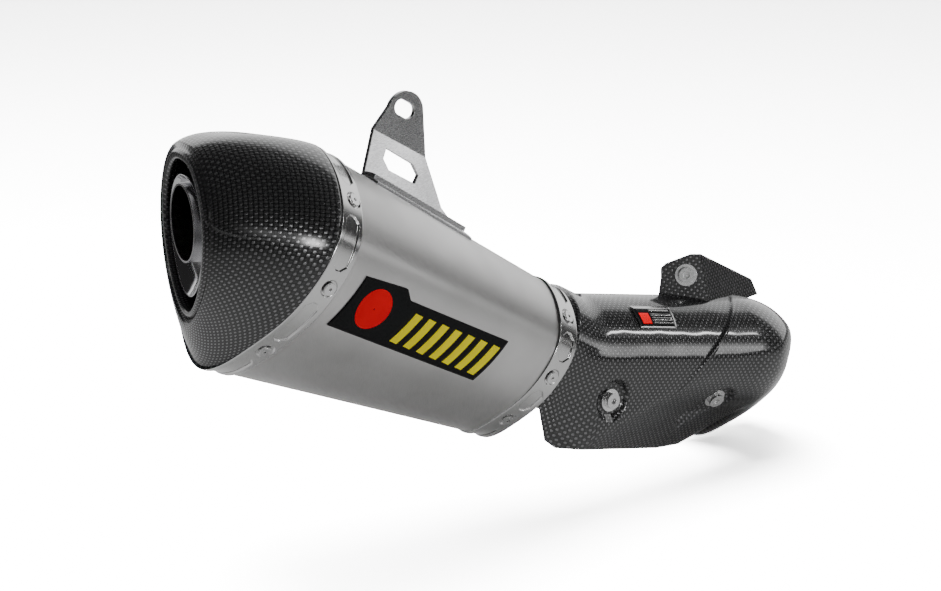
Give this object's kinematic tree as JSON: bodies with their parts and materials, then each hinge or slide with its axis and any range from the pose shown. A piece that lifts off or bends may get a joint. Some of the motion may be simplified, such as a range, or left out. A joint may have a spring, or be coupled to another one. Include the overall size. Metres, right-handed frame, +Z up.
{
  "type": "racing exhaust system",
  "caption": "Short slip-on exhaust: tapered six-sided muffler with a moulded end cap and side-facing outlet, link pipe, band clamps, hanger plate and a moulded heat shield.",
  "frame": {"origin": "centre of the inlet mouth, where the engine's header pipe enters the socket", "axes": "+X forward, +Y inboard towards the machine's centre line, +Z up; the muffler's own axis rises 29.2 degrees towards -X and the outlet is at the -X end"},
  "size_m": [0.5685, 0.1859, 0.3164],
  "materials": {
    "titanium_satin": "satin bead-blasted titanium sheet",
    "ring_steel": "polished pressed stainless steel",
    "rivet_steel": "bright blind rivet",
    "carbon_gloss": "clear-coated carbon twill",
    "cup_steel": "polished stainless steel",
    "tube_steel": "formed stainless tube",
    "weld_steel": "plain inner steel",
    "wool": "long-strand packing",
    "gasket": "pressed graphite",
    "clamp_steel": "stainless band",
    "screw_steel": "satin stainless screw",
    "washer_alloy": "turned alloy",
    "bush_rubber": "heat-proof silicone bush",
    "bracket_steel": "folded steel plate",
    "badge_black": "black anodised plate",
    "badge_silver": "black plate with a bare border"
  },
  "bodies": {
    "link": {"link_pipe": "tube_steel", "inlet_socket": "tube_steel", "inlet_gasket": "gasket", "heat_shield": "carbon_gloss", "shield_badge": "badge_silver", "shield_washers": "washer_alloy", "shield_screws": "screw_steel", "shield_bushes": "bush_rubber", "shield_lugs": "weld_steel"},
    "muffler": {"sleeve": "titanium_satin", "front_ring": "ring_steel", "rear_ring": "ring_steel", "front_rivets": "rivet_steel", "rear_rivets": "rivet_steel", "front_cap": "weld_steel", "inlet_collar": "tube_steel", "core_tube": "weld_steel", "packing_wool": "wool", "rear_bulkhead": "weld_steel", "cap_flange": "weld_steel", "outlet_cap": "carbon_gloss", "outlet_cup": "cup_steel", "outlet_tube": "cup_steel", "hanger_bracket": "bracket_steel", "hanger_saddle": "bracket_steel", "sleeve_badge": "badge_black"},
    "inlet_clamp": {"inlet_clamp_band": "clamp_steel", "inlet_clamp_nut": "screw_steel"},
    "inlet_bolt": {"inlet_clamp_bolt": "screw_steel"},
    "joint_clamp": {"joint_clamp_band": "clamp_steel", "joint_clamp_nut": "screw_steel"},
    "joint_bolt": {"joint_clamp_bolt": "screw_steel"}
  },
  "joints": [
    {"name": "muffler_turn", "type": "hinge", "parent": "link", "child": "muffler", "pos_m": [-0.24328, -0.08386, 0.10356], "axis": [-0.8729, 0, 0.4879], "range_deg": [-4, 4]},
    {"name": "inlet_clamp_turn", "type": "hinge", "parent": "link", "child": "inlet_clamp", "pos_m": [0, 0, 0], "axis": [0, -0.866, 0.5], "range_deg": [-20, 20]},
    {"name": "inlet_bolt_spin", "type": "hinge", "parent": "inlet_clamp", "child": "inlet_bolt", "pos_m": [0.00809, 0.00978, 0.03794], "axis": [-0.9778, 0.1048, 0.1815], "continuous": true},
    {"name": "joint_clamp_turn", "type": "hinge", "parent": "muffler", "child": "joint_clamp", "pos_m": [-0.24328, -0.08386, 0.10356], "axis": [-0.8729, 0, 0.4879], "range_deg": [-20, 20]},
    {"name": "joint_bolt_spin", "type": "hinge", "parent": "joint_clamp", "child": "joint_bolt", "pos_m": [-0.22975, -0.04526, 0.096], "axis": [-0.4879, 0, -0.8729], "continuous": true}
  ]
}
